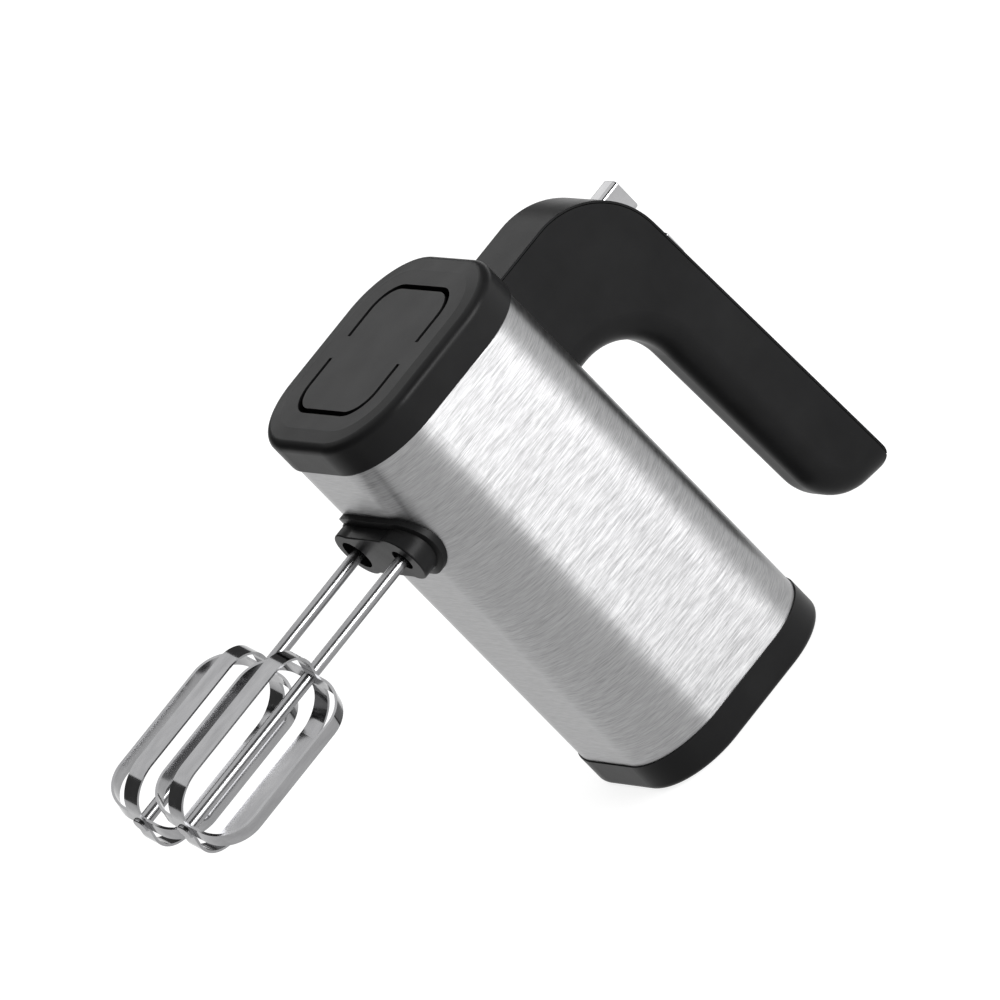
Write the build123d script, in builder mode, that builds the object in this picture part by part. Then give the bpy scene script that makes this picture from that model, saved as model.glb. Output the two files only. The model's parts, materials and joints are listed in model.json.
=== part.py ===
"""Hand mixer with a brushed steel body, a closed-front handle and two strip beaters.

Frame: the mixer stands on its heel. +Z runs up the body to the front cap, +X points to the
handle and -X to the beaters. The origin is the middle of the flat heel face. Millimetres.
"""
from build123d import *
from math import cos, degrees, pi, radians, sin, tan
import os

os.makedirs("parts", exist_ok=True)

# ---------------------------------------------------------------- driving dimensions
# body
BODY_HALF_X = 44.9
BODY_HALF_Y = 42.7
BODY_CORNER = 27.5
SLEEVE_WALL = 0.8
SLEEVE_START = 13.0
SLEEVE_END = 170.9
REAR_PROUD = 0.6
FRONT_PROUD = 1.1
FRONT_FACE = 185.9
CAP_WALL = 2.6
SPIGOT_DEPTH = 8.0
SPIGOT_WALL = 2.0
FIT_GAP = 0.15
HOUSING_GAP = 0.5
HOUSING_WALL = 2.2

# front vents: two facing C slots around a rounded rectangle
VENT_HALF_X = 30.6
VENT_HALF_Y = 26.7
VENT_CORNER = 12.9
VENT_WIDTH = 2.2
VENT_BRIDGE = 5.2

# handle
HANDLE_HALF_Y = 14.2
ARC_X = 70.35
ARC_Z = 137.0
ARC_RADIUS = 33.8
GRIP_TILT = 1.8
HANDLE_END = 4.2
END_RISE = 4.6
UNDERSIDE_X = 76.2
UNDERSIDE_Z = 94.0
UNDERSIDE_TILT = 1.74
BEND_RADIUS = 25.0
STEM_REAR = 121.4
END_RADIUS = 21.0
END_CORNER = 11.5
EDGE_ROUND = 10.5
TIP_ROUND = 7.0
COVER_LIP = 0.8
COVER_SEAM = 0.3
COVER_DEPTH = 2.6
COVER_HALF_Y = 11.4
CAVITY_HALF_Y = 8.6
CAVITY_INSET = 3.2
CAVITY_BEND = 8.0

# gear train
GEAR_Z = 133.8
GEAR_MODULE = 1.0
GEAR_TEETH = 27
WORM_STARTS = 2
WORM_PITCH_RADIUS = 3.65
GEAR_HALF_WIDTH = 4.0
SPINDLE_Y = WORM_PITCH_RADIUS + GEAR_MODULE * GEAR_TEETH / 2

# spindles and beaters
SHAFT_RADIUS = 2.5
SHAFT_RUNNING = 0.06
SHAFT_TOP = 20.4
SPINDLE_TOP = 13.5
SPINDLE_BOTTOM = -40.0
SPINDLE_RADIUS = 5.0
SPINDLE_FOOT_RADIUS = 6.0
BUSH_RADIUS = 8.0
BUSH_RUNNING = 0.05
BEATER_TOP = -105.4
BEATER_BOTTOM = -179.6
STRIP_RADIUS = 21.6
STRIP_WIDTH = 6.4
STRIP_THICK = 1.0
STRIP_BEND = 14.5
BEATER_PHASE = 30.0

# beater boss
BOSS_FACE = -52.5
BOSS_LOBE = 10.4
BOSS_WAIST = 9.6
FLANGE_THICK = 2.3
FLANGE_FACE = -BODY_HALF_X - FLANGE_THICK
FLANGE_HALF_Y = 29.6
FLANGE_HALF_Z = 13.6
SOCKET_LARGE = 6.65
SOCKET_SMALL = 4.65

# gearbox
BOX_BOTTOM = -24.0
BOX_TOP = 9.0
BOX_LID_TOP = 12.0
BOX_REAR = 115.0
BOX_FRONT = 156.0
BOX_HALF_Y = 35.0
BOX_WALL = 2.5

# motor
MOTOR_SHAFT_RADIUS = 4.0
NOSE_RADIUS = 2.4
STACK_START = 62.0
STACK_END = 96.0
ROTOR_RADIUS = 17.7
ROTOR_SLOTS = 12
COMMUTATOR_RADIUS = 11.0
COMMUTATOR_BARS = 24

# controls
STROKE = 6.5
KNOB_HALF_Y = 4.5
KNOB_REAR = 142.2
KNOB_FRONT = 155.7
KNOB_TOP = 107.9
KNOB_TRAVEL = 5.0
CARRIAGE_HALF_Y = 10.4
CARRIAGE_REAR = 142.0
CARRIAGE_FRONT = 157.0
CARRIAGE_THICK = 3.0
ROD_Z = 149.5
ROD_RADIUS = 3.0
TURBO_HALF_Y = 4.5
TURBO_REAR = 116.7
TURBO_FRONT = 127.7
TURBO_TOP = 108.4

# fixings and openings
RIM_DROP = 0.7
RIM_SLOPE = 8.5
RIM_ROUND = 3.5
REAR_LIP_ROUND = 0.8
HEEL_ROUND = 2.6
CAP_SCREW_X = 31.0
CAP_SCREW_Y = 30.0
SCREW_RADIUS = 1.5
SCREW_HEAD = 2.9
GLAND_Z = 8.0
GLAND_RADIUS = 4.6
GLAND_INNER = 34.0
GLAND_OUTER = 47.0
CORD_BORE = 3.3
HOUSING_START = 22.0
HOUSING_END = 162.0
WINDOW_HALF_Y = 27.4
WINDOW_HALF_Z = 11.4
NECK_HALF_Y = 10.8
NECK_REAR = 127.0
NECK_FRONT = 161.5
NECK_DEPTH = 7.0
NECK_WALL = 2.4
SHELF_X = 57.0
COVER_END = 14.0
CARRIAGE_POCKET_X = 84.0
STACK_HALF_X = 31.0
STACK_HALF_Y = 28.0

BOX_FLOOR = -18.0
GEAR_POCKET = 15.4
BEARING_RADIUS = 8.0
LID_SCREW_Y = 31.5
LID_SCREW_Z = 17.5
GEAR_PITCH = GEAR_MODULE * GEAR_TEETH / 2
GEAR_ROOT = GEAR_PITCH - 1.1
GEAR_TIP = GEAR_PITCH + 0.8
TOOTH_PROFILE = ((GEAR_ROOT, 0.95), (GEAR_PITCH, 0.62), (GEAR_TIP, 0.3))
WORM_ROOT = 2.6
WORM_LEAD = WORM_STARTS * pi * GEAR_MODULE
WORM_THREAD_PITCHES = 9
WORM_START = GEAR_Z - WORM_THREAD_PITCHES / 2 * pi * GEAR_MODULE
WORM_LENGTH = WORM_THREAD_PITCHES * pi * GEAR_MODULE

# beater shaft details
WING_REACH = 4.2
WING_THICK = 1.2
WING_TOP = -31.0
WING_LENGTH = 6.0
PEEN_RADIUS = 3.3
PEEN_HEIGHT = 0.9

# motor details
SHAFT_TAIL = 24.0
SHAFT_NOSE = 157.0
COIL_OUTER = 23.5
COIL_REACH = 12.5
SLOT_DEPTH = 7.0
SLOT_WIDTH = 3.0
WINDING_OVERHANG = 6.0
COMMUTATOR_START = 38.0
COMMUTATOR_END = 52.0
FAN_START = 103.5
FAN_HEIGHT = 9.0
FAN_RADIUS = 28.0
FAN_BLADES = 11
REAR_BEARING_START = 25.0
BEARING_WIDTH = 7.0
MAIN_BEARING_WIDTH = 2.6
FRONT_BUSH_WIDTH = 4.0
BRACKET_HALF_Y = 38.9
BRUSH_Z = 45.0
BRUSH_TIP = COMMUTATOR_RADIUS + 0.1
BRUSH_X = 6.0
BRUSH_HEIGHT = 5.0
BRUSH_LENGTH = 13.0
HOLDER_HALF_Z = 4.5
HOLDER_BACK = 34.0

# control details
YOKE_X = 82.0
BLADE_HALF_Y = 1.6
BLADE_WIDTH = 3.0
FOOT_X = 89.5
FOOT_WIDTH = 6.5
TURBO_STEM = 5.5
SWITCH_TOP = 96.0
BOARD_X = 90.0
BOARD_THICK = 1.6
BOARD_MIDDLE = 70.0
BOARD_LENGTH = 76.0
BOARD_WIDTH = 15.0
TURBO_SWITCH_WIDTH = 7.0
TURBO_SWITCH_LENGTH = 17.0
TURBO_SWITCH_HEIGHT = 7.0
SPEED_SWITCH_X = 81.0
SPEED_SWITCH_Z = 133.5
SPEED_SWITCH_WIDTH = 15.0
SPEED_SWITCH_LENGTH = 13.0
SPEED_SWITCH_HEIGHT = 6.5
CAPACITOR_Z = 62.0
CAPACITOR_LENGTH = 18.0
CAPACITOR_HEIGHT = 9.0
CHIP_WIDTH = 10.0
TRIAC_Z = 90.0
TRIAC_LENGTH = 9.0
TRIAC_HEIGHT = 4.4
HEAD_HEIGHT = 1.1
HEAD_SINK = 1.2
CAP_SCREW_LENGTH = 22.0
LID_SCREW_LENGTH = 12.0

SIDES = {"left": 1, "right": -1}


# ---------------------------------------------------------------- shared outlines
def body_outline(height, growth=0.0):
    """The body's rounded section, grown outwards by a distance, on a level plane."""
    with BuildSketch(Plane.XY.offset(height)) as outline:
        RectangleRounded(2 * (BODY_HALF_X + growth), 2 * (BODY_HALF_Y + growth), BODY_CORNER + growth)
    return outline.sketch


def on_arc(radius, angle):
    """A point on the handle's front arc, in the side plane."""
    return (ARC_X + radius * cos(radians(angle)), ARC_Z + radius * sin(radians(angle)))


def on_grip(inset, height):
    """A point on the straight top of the grip, at a height, in the side plane."""
    slope = radians(GRIP_TILT)
    reach = (ARC_RADIUS - inset) / cos(slope)
    return (ARC_X + reach + (ARC_Z - height) * tan(slope), height)


def handle_band(outer_inset, inner_inset, foot_x, end_z):
    """The strip between two insets of the handle's top line, from the stem foot to the tip."""
    outer = ARC_RADIUS - outer_inset
    inner = ARC_RADIUS - inner_inset
    middle = (90 + GRIP_TILT) / 2
    with BuildSketch(Plane.XZ) as band:
        with BuildLine():
            Line((foot_x, ARC_Z + outer), (ARC_X, ARC_Z + outer))
            ThreePointArc((ARC_X, ARC_Z + outer), on_arc(outer, middle), on_arc(outer, GRIP_TILT))
            Line(on_arc(outer, GRIP_TILT), on_grip(outer_inset, end_z))
            Line(on_grip(outer_inset, end_z), on_grip(inner_inset, end_z))
            Line(on_grip(inner_inset, end_z), on_arc(inner, GRIP_TILT))
            ThreePointArc(on_arc(inner, GRIP_TILT), on_arc(inner, middle), (ARC_X, ARC_Z + inner))
            Line((ARC_X, ARC_Z + inner), (foot_x, ARC_Z + inner))
            Line((foot_x, ARC_Z + inner), (foot_x, ARC_Z + outer))
        make_face()
    return band.sketch


def handle_side(top_inset, inset, foot_x, bend=BEND_RADIUS):
    """The handle seen from the side: stem, front arc, grip and rounded end."""
    outer = ARC_RADIUS - top_inset
    middle = (90 + GRIP_TILT) / 2
    end_z = HANDLE_END + inset
    heel_z = end_z + END_RISE
    stem_z = STEM_REAR + inset
    lean = tan(radians(UNDERSIDE_TILT))
    under_x = UNDERSIDE_X + inset
    with BuildSketch(Plane.XZ) as side:
        with BuildLine():
            Line((foot_x, stem_z), (foot_x, ARC_Z + outer))
            Line((foot_x, ARC_Z + outer), (ARC_X, ARC_Z + outer))
            ThreePointArc((ARC_X, ARC_Z + outer), on_arc(outer, middle), on_arc(outer, GRIP_TILT))
            Line(on_arc(outer, GRIP_TILT), on_grip(top_inset, end_z))
            FilletPolyline(
                on_grip(top_inset, end_z),
                (under_x + lean * (UNDERSIDE_Z - heel_z), heel_z),
                (under_x - lean * (stem_z - UNDERSIDE_Z), stem_z),
                (foot_x, stem_z),
                radius=[END_RADIUS - inset, bend],
            )
        make_face()
    return side.sketch


def tip_corner():
    """The sliver removed to round the tip, where the top of the grip meets its end."""
    tip = Vector(*on_grip(0, HANDLE_END))
    end = Vector(UNDERSIDE_X + tan(radians(UNDERSIDE_TILT)) * UNDERSIDE_Z, HANDLE_END + END_RISE)
    up = Vector(-sin(radians(GRIP_TILT)), cos(radians(GRIP_TILT)))
    inward = (end - tip).normalized()
    corner_angle = radians(up.get_angle(inward))
    reach = TIP_ROUND / tan(corner_angle / 2)
    centre = tip + (up + inward) * (TIP_ROUND / sin(corner_angle))
    outside = (up + inward) * -2
    upper = tip + up * reach
    lower = tip + inward * reach
    outline = (upper, upper + outside, tip + outside * 2, lower + outside, lower, centre)
    with BuildSketch(Plane.XZ) as corner:
        Polygon(*[(point.X, point.Y) for point in outline], align=None)
        with Locations((centre.X, centre.Y)):
            Circle(TIP_ROUND, mode=Mode.SUBTRACT)
    return corner.sketch


def across(x, z=GEAR_Z, y=0.0):
    """A plane square to the beaters, at a distance along X: its first direction is +Y, its second +Z."""
    return Plane((x, y, z), x_dir=(0, 1, 0), z_dir=(1, 0, 0))


def neck_outline(x, growth):
    """The stem's neck, where it passes through the sleeve."""
    with BuildSketch(across(x, (NECK_REAR + NECK_FRONT) / 2)) as outline:
        RectangleRounded(2 * (NECK_HALF_Y + growth), NECK_FRONT - NECK_REAR + 2 * growth, 3.0 + growth)
    return outline.sketch


def stadium(plane, half_length, half_width):
    """A slot shape, long in the plane's first direction."""
    with BuildSketch(plane) as shape:
        SlotOverall(2 * half_length, 2 * half_width)
    return shape.sketch


# ---------------------------------------------------------------- body shells
# thin brushed steel skin, open at both ends, with a window for the boss and one for the stem
with BuildPart() as steel_sleeve:
    extrude(body_outline(SLEEVE_START), amount=SLEEVE_END - SLEEVE_START)
    extrude(body_outline(SLEEVE_START, -SLEEVE_WALL), amount=SLEEVE_END - SLEEVE_START, mode=Mode.SUBTRACT)
    extrude(stadium(across(-BODY_HALF_X - 2), WINDOW_HALF_Y, WINDOW_HALF_Z), amount=25, mode=Mode.SUBTRACT)
    extrude(neck_outline(BODY_HALF_X - 5, FIT_GAP), amount=10, mode=Mode.SUBTRACT)
steel_sleeve.part.label = "steel_sleeve"
export_step(steel_sleeve.part, "parts/steel_sleeve.step")

# front cap: hollow moulding with a dished rim, a spigot inside the sleeve and two C slots
with BuildPart() as front_cap:
    extrude(body_outline(SLEEVE_END, FRONT_PROUD), amount=FRONT_FACE - SLEEVE_END)
    chamfer(front_cap.edges().group_by(Axis.Z)[-1], RIM_DROP, RIM_SLOPE)
    rim_height = FRONT_FACE - RIM_DROP
    fillet(front_cap.edges().filter_by_position(Axis.Z, rim_height - 0.02, rim_height + 0.02), RIM_ROUND)
    fillet(front_cap.edges().group_by(Axis.Z)[0], REAR_LIP_ROUND)
    extrude(body_outline(SLEEVE_END, -SLEEVE_WALL - FIT_GAP), amount=-SPIGOT_DEPTH)
    extrude(
        body_outline(SLEEVE_END - SPIGOT_DEPTH, -SLEEVE_WALL - FIT_GAP - SPIGOT_WALL),
        amount=FRONT_FACE - CAP_WALL - SLEEVE_END + SPIGOT_DEPTH,
        mode=Mode.SUBTRACT,
    )
    with BuildSketch(Plane.XY.offset(FRONT_FACE - 2 * CAP_WALL)):
        RectangleRounded(2 * VENT_HALF_X, 2 * VENT_HALF_Y, VENT_CORNER)
        RectangleRounded(
            2 * (VENT_HALF_X - VENT_WIDTH),
            2 * (VENT_HALF_Y - VENT_WIDTH),
            VENT_CORNER - VENT_WIDTH,
            mode=Mode.SUBTRACT,
        )
        Rectangle(2 * VENT_BRIDGE, 2 * VENT_HALF_Y, mode=Mode.SUBTRACT)
    extrude(amount=3 * CAP_WALL, mode=Mode.SUBTRACT)
front_cap.part.label = "front_cap"
export_step(front_cap.part, "parts/front_cap.step")

# rear cap: the heel the mixer stands on, with air slots in the heel and a hole for the cord gland
with BuildPart() as rear_cap:
    extrude(body_outline(0, REAR_PROUD), amount=SLEEVE_START)
    fillet(rear_cap.edges().group_by(Axis.Z)[0], HEEL_ROUND)
    extrude(body_outline(SLEEVE_START, -SLEEVE_WALL - FIT_GAP), amount=SPIGOT_DEPTH)
    extrude(
        body_outline(CAP_WALL, -SLEEVE_WALL - FIT_GAP - SPIGOT_WALL),
        amount=SLEEVE_START + SPIGOT_DEPTH,
        mode=Mode.SUBTRACT,
    )
    with BuildSketch(Plane.XY):
        with GridLocations(8.0, 0, 7, 1):
            SlotOverall(44.0, 2.4, rotation=90)
    extrude(amount=CAP_WALL, mode=Mode.SUBTRACT)
    with BuildSketch(Plane.XY):
        with GridLocations(2 * CAP_SCREW_X, 2 * CAP_SCREW_Y, 2, 2):
            Circle(SCREW_RADIUS + 0.2)
    extrude(amount=CAP_WALL, mode=Mode.SUBTRACT)
    with BuildSketch(Plane.XY):
        with GridLocations(2 * CAP_SCREW_X, 2 * CAP_SCREW_Y, 2, 2):
            Circle(SCREW_HEAD + 0.3)
    extrude(amount=HEAD_SINK, mode=Mode.SUBTRACT)
    with BuildSketch(across(BODY_HALF_X + 5, GLAND_Z)):
        Circle(GLAND_RADIUS)
    extrude(amount=-12, mode=Mode.SUBTRACT)
rear_cap.part.label = "rear_cap"
export_step(rear_cap.part, "parts/rear_cap.step")

# cord gland: a flanged bush in the handle side of the rear cap, open where a cord would enter
with BuildPart() as cord_gland:
    with BuildSketch(across(GLAND_INNER, GLAND_Z)):
        Circle(GLAND_RADIUS)
    extrude(amount=GLAND_OUTER - GLAND_INNER)
    with BuildSketch(across(GLAND_INNER, GLAND_Z)):
        Circle(GLAND_RADIUS + 0.8)
    extrude(amount=1.2)
    fillet(cord_gland.edges().group_by(Axis.X)[-1], 0.5)
    with BuildSketch(across(GLAND_INNER, GLAND_Z)):
        Circle(CORD_BORE)
    extrude(amount=GLAND_OUTER - GLAND_INNER, mode=Mode.SUBTRACT)
cord_gland.part.label = "cord_gland"
export_step(cord_gland.part, "parts/cord_gland.step")

# inner housing: plastic tube that backs the steel skin and carries the works
with BuildPart() as inner_housing:
    extrude(body_outline(HOUSING_START, -SLEEVE_WALL - HOUSING_GAP), amount=HOUSING_END - HOUSING_START)
    extrude(
        body_outline(HOUSING_START, -SLEEVE_WALL - HOUSING_GAP - HOUSING_WALL),
        amount=HOUSING_END - HOUSING_START,
        mode=Mode.SUBTRACT,
    )
    with BuildSketch(Plane.XY.offset(STACK_START)):
        for x_side in (1, -1):
            for y_side in (1, -1):
                with Locations((x_side * (STACK_HALF_X - 6), y_side * (STACK_HALF_Y + 5.4))):
                    Rectangle(5, 10)
        Rectangle(2 * STACK_HALF_X, 2 * STACK_HALF_Y, mode=Mode.SUBTRACT)
    extrude(amount=STACK_END - STACK_START)
    with BuildSketch(Plane.XY.offset(BOX_REAR)):
        with Locations((0, BOX_HALF_Y + 2.2), (0, -BOX_HALF_Y - 2.2)):
            Rectangle(12, 4.4)
    extrude(amount=BOX_FRONT - BOX_REAR)
    extrude(stadium(across(-BODY_HALF_X - 2), WINDOW_HALF_Y, WINDOW_HALF_Z), amount=28, mode=Mode.SUBTRACT)
    extrude(neck_outline(BODY_HALF_X - 8, FIT_GAP), amount=12, mode=Mode.SUBTRACT)
inner_housing.part.label = "inner_housing"
export_step(inner_housing.part, "parts/inner_housing.step")

# ---------------------------------------------------------------- handle
# the outer form of the whole handle, cut into the base and its cover strip below
with BuildPart() as handle_form:
    extrude(handle_side(0, 0, BODY_HALF_X), amount=HANDLE_HALF_Y, both=True)
    fillet(handle_form.edges().filter_by(Axis.X).group_by(Axis.Z)[0], EDGE_ROUND)
    extrude(tip_corner(), amount=HANDLE_HALF_Y + 1, both=True, mode=Mode.SUBTRACT)

with BuildPart() as handle_base:
    add(handle_form.part)
    extrude(handle_band(-1, COVER_LIP + COVER_SEAM, BODY_HALF_X - 1, 0), amount=20, both=True, mode=Mode.SUBTRACT)
    extrude(
        handle_band(0, COVER_DEPTH + 0.1, BODY_HALF_X + 3, COVER_END),
        amount=COVER_HALF_Y + 0.1,
        both=True,
        mode=Mode.SUBTRACT,
    )
    extrude(
        handle_side(0, CAVITY_INSET, SHELF_X + 3, CAVITY_BEND),
        amount=CAVITY_HALF_Y,
        both=True,
        mode=Mode.SUBTRACT,
    )
    extrude(neck_outline(BODY_HALF_X, 0), amount=-NECK_DEPTH)
    extrude(neck_outline(SHELF_X, -NECK_WALL), amount=-(SHELF_X - BODY_HALF_X + NECK_DEPTH), mode=Mode.SUBTRACT)
    with BuildSketch(across(SHELF_X - 1, ROD_Z)):
        Circle(ROD_RADIUS + 0.3)
        with Locations((0, -12)):
            Circle(3.0)
    extrude(amount=6, mode=Mode.SUBTRACT)
    with BuildSketch(across(CARRIAGE_POCKET_X, (CARRIAGE_REAR + CARRIAGE_FRONT) / 2)):
        Rectangle(2 * CARRIAGE_HALF_Y + 1.0, CARRIAGE_FRONT - CARRIAGE_REAR + 1.0)
    extrude(amount=30, mode=Mode.SUBTRACT)
handle_base.part.label = "handle_base"
export_step(handle_base.part, "parts/handle_base.step")

# the strip along the top of the handle, with openings for the carriage and the turbo button
with BuildPart() as handle_cover:
    add(handle_form.part)
    extrude(handle_band(-1, COVER_LIP, BODY_HALF_X - 1, 0), amount=20, both=True, mode=Mode.INTERSECT)
    extrude(
        handle_band(COVER_LIP, COVER_DEPTH, BODY_HALF_X + 3.1, COVER_END + 0.1),
        amount=COVER_HALF_Y,
        both=True,
    )
    with BuildSketch(across(CARRIAGE_POCKET_X, (CARRIAGE_REAR + CARRIAGE_FRONT) / 2)):
        RectangleRounded(2 * CARRIAGE_HALF_Y + 0.8, CARRIAGE_FRONT - CARRIAGE_REAR + 0.8, 1.5)
    extrude(amount=30, mode=Mode.SUBTRACT)
    with BuildSketch(across(CARRIAGE_POCKET_X, (TURBO_REAR + TURBO_FRONT) / 2)):
        RectangleRounded(2 * TURBO_HALF_Y + 0.6, TURBO_FRONT - TURBO_REAR + 0.6, 1.5)
    extrude(amount=30, mode=Mode.SUBTRACT)
handle_cover.part.label = "handle_cover"
export_step(handle_cover.part, "parts/handle_cover.step")

# ---------------------------------------------------------------- beater boss
# figure-of-eight boss on a flange that fits the sleeve, with one large and one small socket
with BuildPart() as beater_boss:
    extrude(body_outline(SLEEVE_START, FLANGE_THICK), amount=SLEEVE_END - SLEEVE_START)
    extrude(
        stadium(across(FLANGE_FACE - 1), FLANGE_HALF_Y, FLANGE_HALF_Z),
        amount=BODY_HALF_X,
        mode=Mode.INTERSECT,
    )
    extrude(body_outline(SLEEVE_START, 0.02), amount=SLEEVE_END, mode=Mode.SUBTRACT)
    with BuildSketch(across(BOSS_FACE)):
        with Locations((SPINDLE_Y, 0), (-SPINDLE_Y, 0)):
            Circle(BOSS_LOBE)
        Rectangle(2 * SPINDLE_Y, 2 * BOSS_WAIST)
        fillet(vertices(), 6.0)
    extrude(amount=FLANGE_FACE - BOSS_FACE + 0.5)
    fillet(beater_boss.edges().group_by(Axis.X)[0], 0.6)
    extrude(stadium(across(FLANGE_FACE), WINDOW_HALF_Y - FIT_GAP, WINDOW_HALF_Z - FIT_GAP), amount=-FLANGE_FACE - 37)
    for side, socket in ((1, SOCKET_LARGE), (-1, SOCKET_SMALL)):
        with BuildSketch(across(BOSS_FACE, y=side * SPINDLE_Y)):
            Circle(socket)
        extrude(amount=SPINDLE_BOTTOM - BOSS_FACE, mode=Mode.SUBTRACT)
        with BuildSketch(across(SPINDLE_BOTTOM - 1.5, y=side * SPINDLE_Y)):
            Circle(SPINDLE_FOOT_RADIUS + 1)
        extrude(amount=10, mode=Mode.SUBTRACT)
beater_boss.part.label = "beater_boss"
export_step(beater_boss.part, "parts/beater_boss.step")

# ---------------------------------------------------------------- gearbox
# open-topped casting that carries the spindles, the main bearing and the front bush
with BuildPart() as gearbox_housing:
    with BuildSketch(across(BOX_BOTTOM, (BOX_REAR + BOX_FRONT) / 2)):
        RectangleRounded(2 * BOX_HALF_Y, BOX_FRONT - BOX_REAR, 4.0)
    extrude(amount=BOX_TOP - BOX_BOTTOM)
    with BuildSketch(across(BOX_FLOOR)):
        RectangleRounded(2 * (BOX_HALF_Y - BOX_WALL), 2 * GEAR_POCKET, 2.0)
    extrude(amount=BOX_TOP - BOX_FLOOR, mode=Mode.SUBTRACT)
    with BuildSketch(Plane.XY.offset(BOX_REAR)):
        Circle(BEARING_RADIUS)
    extrude(amount=BOX_FRONT - BOX_REAR, mode=Mode.SUBTRACT)
    with BuildSketch(across(BOX_BOTTOM)):
        with Locations((SPINDLE_Y, 0), (-SPINDLE_Y, 0)):
            Circle(BUSH_RADIUS)
    extrude(amount=BOX_FLOOR - BOX_BOTTOM, mode=Mode.SUBTRACT)
    with BuildSketch(across(BOX_TOP, (BOX_REAR + BOX_FRONT) / 2)):
        with GridLocations(2 * LID_SCREW_Y, 2 * LID_SCREW_Z, 2, 2):
            Circle(SCREW_RADIUS)
    extrude(amount=-12, mode=Mode.SUBTRACT)
gearbox_housing.part.label = "gearbox_housing"
export_step(gearbox_housing.part, "parts/gearbox_housing.step")

with BuildPart() as gearbox_cover:
    with BuildSketch(across(BOX_TOP, (BOX_REAR + BOX_FRONT) / 2)):
        RectangleRounded(2 * BOX_HALF_Y, BOX_FRONT - BOX_REAR, 4.0)
        with GridLocations(2 * LID_SCREW_Y, 2 * LID_SCREW_Z, 2, 2):
            Circle(SCREW_RADIUS + 0.2, mode=Mode.SUBTRACT)
    extrude(amount=BOX_LID_TOP - BOX_TOP)
    with BuildSketch(across(BOX_TOP)):
        with Locations((SPINDLE_Y, 0), (-SPINDLE_Y, 0)):
            Circle(BUSH_RADIUS - 0.5)
    extrude(amount=BOX_LID_TOP - BOX_TOP, mode=Mode.SUBTRACT)
gearbox_cover.part.label = "gearbox_cover"
export_step(gearbox_cover.part, "parts/gearbox_cover.step")

# sintered bushes, a lower and an upper one on each spindle
with BuildPart() as lower_bushes:
    with BuildSketch(across(BOX_BOTTOM)):
        with Locations((SPINDLE_Y, 0), (-SPINDLE_Y, 0)):
            Circle(BUSH_RADIUS)
            Circle(SPINDLE_RADIUS + BUSH_RUNNING, mode=Mode.SUBTRACT)
    extrude(amount=BOX_FLOOR - BOX_BOTTOM + 1)
lower_bushes.part.label = "lower_bushes"
export_step(lower_bushes.part, "parts/lower_bushes.step")

with BuildPart() as upper_bushes:
    with BuildSketch(across(BOX_TOP - 2)):
        with Locations((SPINDLE_Y, 0), (-SPINDLE_Y, 0)):
            Circle(BUSH_RADIUS - 0.5)
            Circle(SPINDLE_RADIUS + BUSH_RUNNING, mode=Mode.SUBTRACT)
    extrude(amount=BOX_LID_TOP - BOX_TOP + 2)
upper_bushes.part.label = "upper_bushes"
export_step(upper_bushes.part, "parts/upper_bushes.step")


# ---------------------------------------------------------------- drive gears
def gear_section(x):
    """The gear's toothed outline at a distance from its middle plane, turned by the helix."""
    twist = x / (WORM_PITCH_RADIUS * GEAR_PITCH)
    step = 2 * pi / GEAR_TEETH
    profile = [(radius, -half) for radius, half in TOOTH_PROFILE]
    profile += [(radius, half) for radius, half in reversed(TOOTH_PROFILE)]
    points = []
    for tooth in range(GEAR_TEETH):
        middle = pi + (tooth + 0.5) * step + twist
        for radius, half in profile:
            angle = middle + half / radius
            points.append((radius * cos(angle), radius * sin(angle)))
    with BuildSketch(Plane.YZ.offset(x)) as section:
        Polygon(*points, align=None)
    return section.sketch


# a helical gear about its own axis, with a tooth gap facing the worm; both spindles carry the same gear
with BuildPart() as gear_blank:
    loft([gear_section(x) for x in (-GEAR_HALF_WIDTH, 0, GEAR_HALF_WIDTH)], ruled=True)
    with BuildSketch(Plane.YZ.offset(-GEAR_HALF_WIDTH)):
        Circle(SPINDLE_RADIUS)
    extrude(amount=2 * GEAR_HALF_WIDTH, mode=Mode.SUBTRACT)
    for face_x in (-GEAR_HALF_WIDTH, GEAR_HALF_WIDTH - 1.5):
        with BuildSketch(Plane.YZ.offset(face_x)):
            Circle(GEAR_ROOT - 2.2)
            Circle(SPINDLE_RADIUS + 1.8, mode=Mode.SUBTRACT)
        extrude(amount=1.5, mode=Mode.SUBTRACT)

with BuildPart() as left_drive_gear:
    with Locations((0, SPINDLE_Y, GEAR_Z)):
        add(gear_blank.part)
left_drive_gear.part.label = "left_drive_gear"
export_step(left_drive_gear.part, "parts/left_drive_gear.step")

with BuildPart() as right_drive_gear:
    with Locations((0, -SPINDLE_Y, GEAR_Z)):
        add(gear_blank.part, rotation=(0, 0, 180))
right_drive_gear.part.label = "right_drive_gear"
export_step(right_drive_gear.part, "parts/right_drive_gear.step")


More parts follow.
